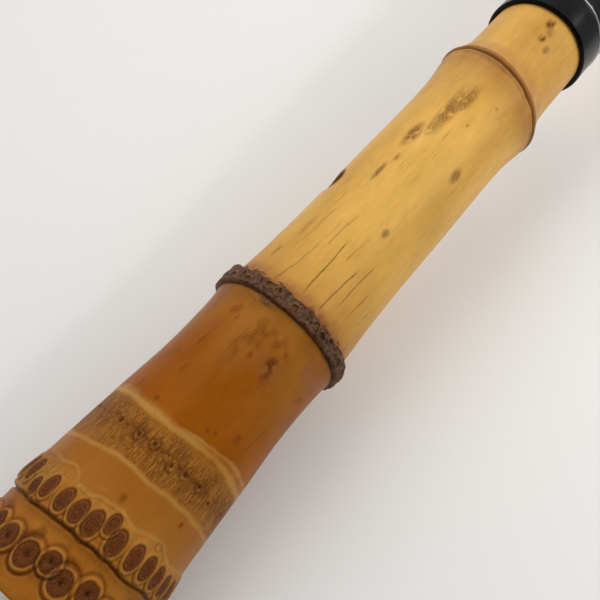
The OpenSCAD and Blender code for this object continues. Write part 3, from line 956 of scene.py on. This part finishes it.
def satin_silver(name):
    g = Graph(name)
    scratch = g.noise((2400, 60, 60), 3.0)
    tarnish = g.ramp(g.noise((200, 200, 200), 4.0), 0.45, 0.75)
    colour = g.mix(tarnish, rgb(170, 169, 168), rgb(120, 116, 112))
    rough = g.math("ADD", g.math("MULTIPLY", scratch, 0.2), 0.24)
    return g.set(Base_Color=colour, Roughness=rough, Normal=g.bump(scratch, 0.00001), Metallic=1.0)


def lacquer_lining(name):
    """Red-brown lacquer over paste, slightly wavy from the brush."""
    g = Graph(name)
    brush = g.noise((60, 500, 500), 4.0)
    colour = g.mix(g.ramp(brush, 0.35, 0.7), rgb(96, 26, 18), rgb(140, 44, 26))
    rough = g.math("ADD", g.math("MULTIPLY", brush, 0.15), 0.16)
    return g.set(Base_Color=colour, Roughness=rough, Normal=g.bump(brush, 0.00008),
                 **{"Coat Weight": 0.3, "Coat Roughness": 0.1})


def lacquered_tube(name):
    """Tube of the joint: dark lacquered bamboo with rubbed rings from use."""
    g = Graph(name)
    fibre = g.noise((30, 1100, 1100), 4.0)
    rubbed = g.ramp(g.noise((900, 40, 40), 3.0), 0.5, 0.72)
    colour = g.mix(g.ramp(fibre, 0.4, 0.7), rgb(58, 26, 18), rgb(92, 44, 26))
    colour = g.mix(g.math("MULTIPLY", rubbed, 0.45), colour, rgb(128, 72, 40))
    rough = g.math("ADD", g.math("MULTIPLY", rubbed, 0.2), 0.24)
    return g.set(Base_Color=colour, Roughness=rough, Normal=g.bump(fibre, 0.00004),
                 **{"Coat Weight": 0.2, "Coat Roughness": 0.15})


def polished_horn(name):
    g = Graph(name)
    streak = g.noise((500, 90, 500), 5.0, "Object", 0.6, 0.6)
    colour = g.mix(g.ramp(streak, 0.4, 0.72), rgb(22, 16, 12), rgb(98, 74, 48))
    rough = g.math("ADD", g.math("MULTIPLY", streak, 0.14), 0.14)
    return g.set(Base_Color=colour, Roughness=rough, Normal=g.bump(streak, 0.00002))


def paper_floor(name):
    g = Graph(name)
    tooth = g.noise((700, 700, 700), 3.0)
    colour = g.mix(g.noise((3, 3, 3), 2.0), rgb(233, 232, 230), rgb(238, 237, 236))
    return g.set(Base_Color=colour, Roughness=0.9, Normal=g.bump(tooth, 0.00003),
                 **{"Specular IOR Level": 0.2})


# ---------------------------------------------------------------- the object

skin_material = bamboo_skin("bamboo_skin")
grain_material = end_grain("sawn_bamboo")

lower_bamboo = build_lower_culm(skin_material, grain_material)
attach(lower_bamboo, "lower_half")
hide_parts("lower_culm")

upper_bamboo = build_upper_culm(skin_material, grain_material)
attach(upper_bamboo, "upper_half")
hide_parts("upper_culm")

CAD_LOOKS = {
    "lower_sleeve": black_sleeve("lower_sleeve_lacquer"),
    "upper_sleeve": black_sleeve("upper_sleeve_lacquer"),
    "seam_ring": satin_silver("seam_silver"),
    "lower_lining": lacquer_lining("lower_bore_lacquer"),
    "upper_lining": lacquer_lining("upper_bore_lacquer"),
    "tenon": lacquered_tube("tenon_lacquer"),
    "socket": lacquered_tube("socket_lacquer"),
    "mouth_inlay": polished_horn("inlay_horn"),
}
for node_name, material in CAD_LOOKS.items():
    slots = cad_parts[node_name].data.materials
    if len(slots):
        for k in range(len(slots)):
            slots[k] = material
    else:
        slots.append(material)

# ---------------------------------------------------------------- the stage

FLOOR_SIZE = 6.0
FLOOR_LEAN = math.radians(-7)
ROOT_REST_X = ROOT_X + 22 * MM


def build_floor():
    """Pale floor that the root end rests on; it falls away under the joint, so the shadow fades."""
    half, cells = FLOOR_SIZE / 2, 12
    ticks = np.linspace(-half, half, cells + 1)
    xs, ys = np.meshgrid(ticks, ticks, indexing="ij")
    points = np.stack([xs, ys, (xs - ROOT_REST_X) * math.tan(FLOOR_LEAN)], -1).reshape(-1, 3)
    grid = np.arange((cells + 1) ** 2).reshape(cells + 1, cells + 1)
    quads = np.stack([grid[:-1, :-1], grid[1:, :-1], grid[1:, 1:], grid[:-1, 1:]], -1)
    mesh = bpy.data.meshes.new("floor")
    mesh.from_pydata(points.tolist(), [], quads.reshape(-1, 4).tolist())
    mesh.materials.append(paper_floor("floor_paper"))
    thing = bpy.data.objects.new("floor", mesh)
    bpy.context.scene.collection.objects.link(thing)


def area_light(name, at, aim, width, height, power, colour=(1, 1, 1)):
    lamp = bpy.data.lights.new(name, "AREA")
    lamp.shape = "RECTANGLE"
    lamp.size, lamp.size_y = width, height
    lamp.energy, lamp.color = power, colour
    thing = bpy.data.objects.new(name, lamp)
    thing.location = at
    z = (Vector(at) - Vector(aim)).normalized()
    x = (Vector((1, 0, 0)) - z * z.x).normalized()
    thing.rotation_euler = Matrix((x, z.cross(x), z)).transposed().to_euler()
    bpy.context.scene.collection.objects.link(thing)


def build_world(bright_side, dim, bright):
    """A room that is bright towards one side and dim on the other."""
    world = bpy.data.worlds.new("room")
    world.use_nodes = True
    nodes, links = world.node_tree.nodes, world.node_tree.links
    where = nodes.new("ShaderNodeTexCoord")
    facing = nodes.new("ShaderNodeVectorMath")
    facing.operation = "DOT_PRODUCT"
    facing.inputs[1].default_value = Vector(bright_side).normalized()
    level = nodes.new("ShaderNodeMapRange")
    level.interpolation_type = "SMOOTHSTEP"
    level.inputs["From Min"].default_value = -0.9
    level.inputs["To Min"].default_value = dim
    level.inputs["To Max"].default_value = bright
    background = nodes["Background"]
    background.inputs["Color"].default_value = (1.0, 0.99, 0.975, 1)
    links.new(where.outputs["Generated"], facing.inputs[0])
    links.new(facing.outputs["Value"], level.inputs["Value"])
    links.new(level.outputs["Result"], background.inputs["Strength"])
    bpy.context.scene.world = world


def build_camera(at, forward, right, lens):
    data = bpy.data.cameras.new("camera")
    data.sensor_width, data.lens = 36, lens
    data.clip_start, data.clip_end = 0.01, 20
    thing = bpy.data.objects.new("camera", data)
    back = -Vector(forward).normalized()
    side = Vector(right).normalized()
    facing = Matrix((side, back.cross(side), back)).transposed()
    thing.matrix_world = Matrix.Translation(at) @ facing.to_4x4()
    bpy.context.scene.collection.objects.link(thing)
    bpy.context.scene.camera = thing


LOWER_MIDDLE = Vector((ROOT_X + 0.13, 0, AXIS_Z))
CAMERA_PLACE = Vector((ROOT_X + 0.01913, -0.06944, AXIS_Z + 0.20504))
CAMERA_FORWARD = (0.3812, 0.3022, -0.8737)
CAMERA_RIGHT = (0.6213, -0.7836, 0)
LENS = 46.96

build_floor()
build_world((0.65, 0.3, 0.45), 0.0, 0.84)
area_light("sky", LOWER_MIDDLE + Vector((0.26, 0.26, 0.45)), LOWER_MIDDLE, 0.36, 0.36, 1.0)
fill_aim = LOWER_MIDDLE + Vector((0.06, 0, 0))
area_light("fill", LOWER_MIDDLE + Vector((0.26, -0.22, 0.2)), fill_aim, 0.2, 0.2, 0.28)
glint_turn = math.radians(-47)
glint = Vector((ROOT_X + 0.56, 0.6 * math.sin(glint_turn), AXIS_Z + 0.6 * math.cos(glint_turn)))
area_light("glint", glint, LOWER_MIDDLE, 0.4, 0.05, 0.8)
build_camera(CAMERA_PLACE, CAMERA_FORWARD, CAMERA_RIGHT, LENS)
bpy.context.scene.view_settings.view_transform = "Standard"
